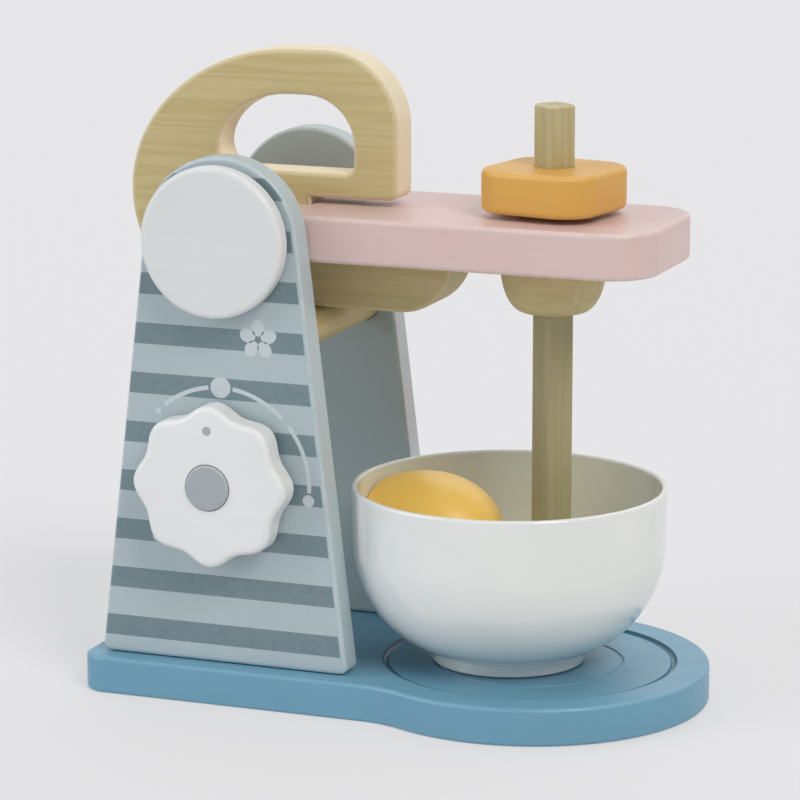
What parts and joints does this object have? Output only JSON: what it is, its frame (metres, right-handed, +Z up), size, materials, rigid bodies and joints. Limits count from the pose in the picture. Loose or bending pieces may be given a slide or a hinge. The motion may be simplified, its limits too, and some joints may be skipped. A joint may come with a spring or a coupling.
{
  "type": "toy stand mixer",
  "caption": "Wooden toy stand mixer: a base with side panels carries a tilting arm with a hand grip, a square beater shaft turned by a knob, a dial, and a loose bowl with an egg half.",
  "frame": {"origin": "centre of the base board's length and width, on its underside", "axes": "+X towards the beater end, -Y towards the panel with the dial, +Z up"},
  "size_m": [0.24, 0.142, 0.2537],
  "materials": {
    "blue_paint": "satin water-based paint on beech board, sky blue",
    "panel_paint": "satin paint on board, pale grey-blue with darker printed stripes on the near panel",
    "white_paint": "satin white paint on turned and cut wood",
    "pink_paint": "satin dusty-pink paint on board",
    "orange_paint": "satin orange-yellow paint on board",
    "grey_paint": "satin grey paint on a turned disc",
    "bare_wood": "sanded pale hardwood under clear matt lacquer",
    "bowl_white": "smooth glossy white",
    "egg_lacquer": "gloss yellow lacquer on turned wood",
    "fibre": "thin pressed-fibre washer",
    "zinc_steel": "zinc-plated countersunk wood screw"
  },
  "bodies": {
    "stand": {"base_board": "blue_paint", "near_panel": "panel_paint", "far_panel": "panel_paint", "near_panel_screw_rear": "zinc_steel", "near_panel_screw_front": "zinc_steel", "far_panel_screw_rear": "zinc_steel", "far_panel_screw_front": "zinc_steel", "stop_rail": "bare_wood"},
    "head": {"pivot_axle": "bare_wood", "near_axle_cap": "white_paint", "far_axle_cap": "white_paint", "near_cap_washer": "fibre", "far_cap_washer": "fibre", "arm_board": "pink_paint", "hand_grip": "bare_wood", "keel_block": "bare_wood", "keel_screw_rear": "zinc_steel", "keel_screw_front": "zinc_steel"},
    "beater": {"beater_shaft": "bare_wood", "beater_knob": "orange_paint", "knob_spacer": "bare_wood", "beater_hub": "bare_wood"},
    "dial": {"dial_knob": "white_paint", "dial_button": "grey_paint", "dial_pin": "bare_wood", "dial_retainer": "bare_wood"},
    "mixing_bowl": {"bowl": "bowl_white"},
    "egg": {"egg_half": "egg_lacquer"}
  },
  "joints": [
    {"name": "head_tilt", "type": "hinge", "parent": "stand", "child": "head", "pos_m": [-0.061, 0, 0.184], "axis": [0, -1, 0], "range_deg": [0, 95]},
    {"name": "beater_spin", "type": "hinge", "parent": "head", "child": "beater", "pos_m": [0.0575, 0, 0.184], "axis": [0, 0, 1], "continuous": true},
    {"name": "dial_turn", "type": "hinge", "parent": "stand", "child": "dial", "pos_m": [-0.061, -0.06, 0.089], "axis": [0, -1, 0], "continuous": true},
    {"name": "bowl_lift", "type": "slide", "parent": "stand", "child": "mixing_bowl", "axis": [0, 0, 1], "range_m": [0, 0.025]},
    {"name": "egg_lift", "type": "slide", "parent": "mixing_bowl", "child": "egg", "axis": [0, 0, 1], "range_m": [0, 0.04]}
  ]
}
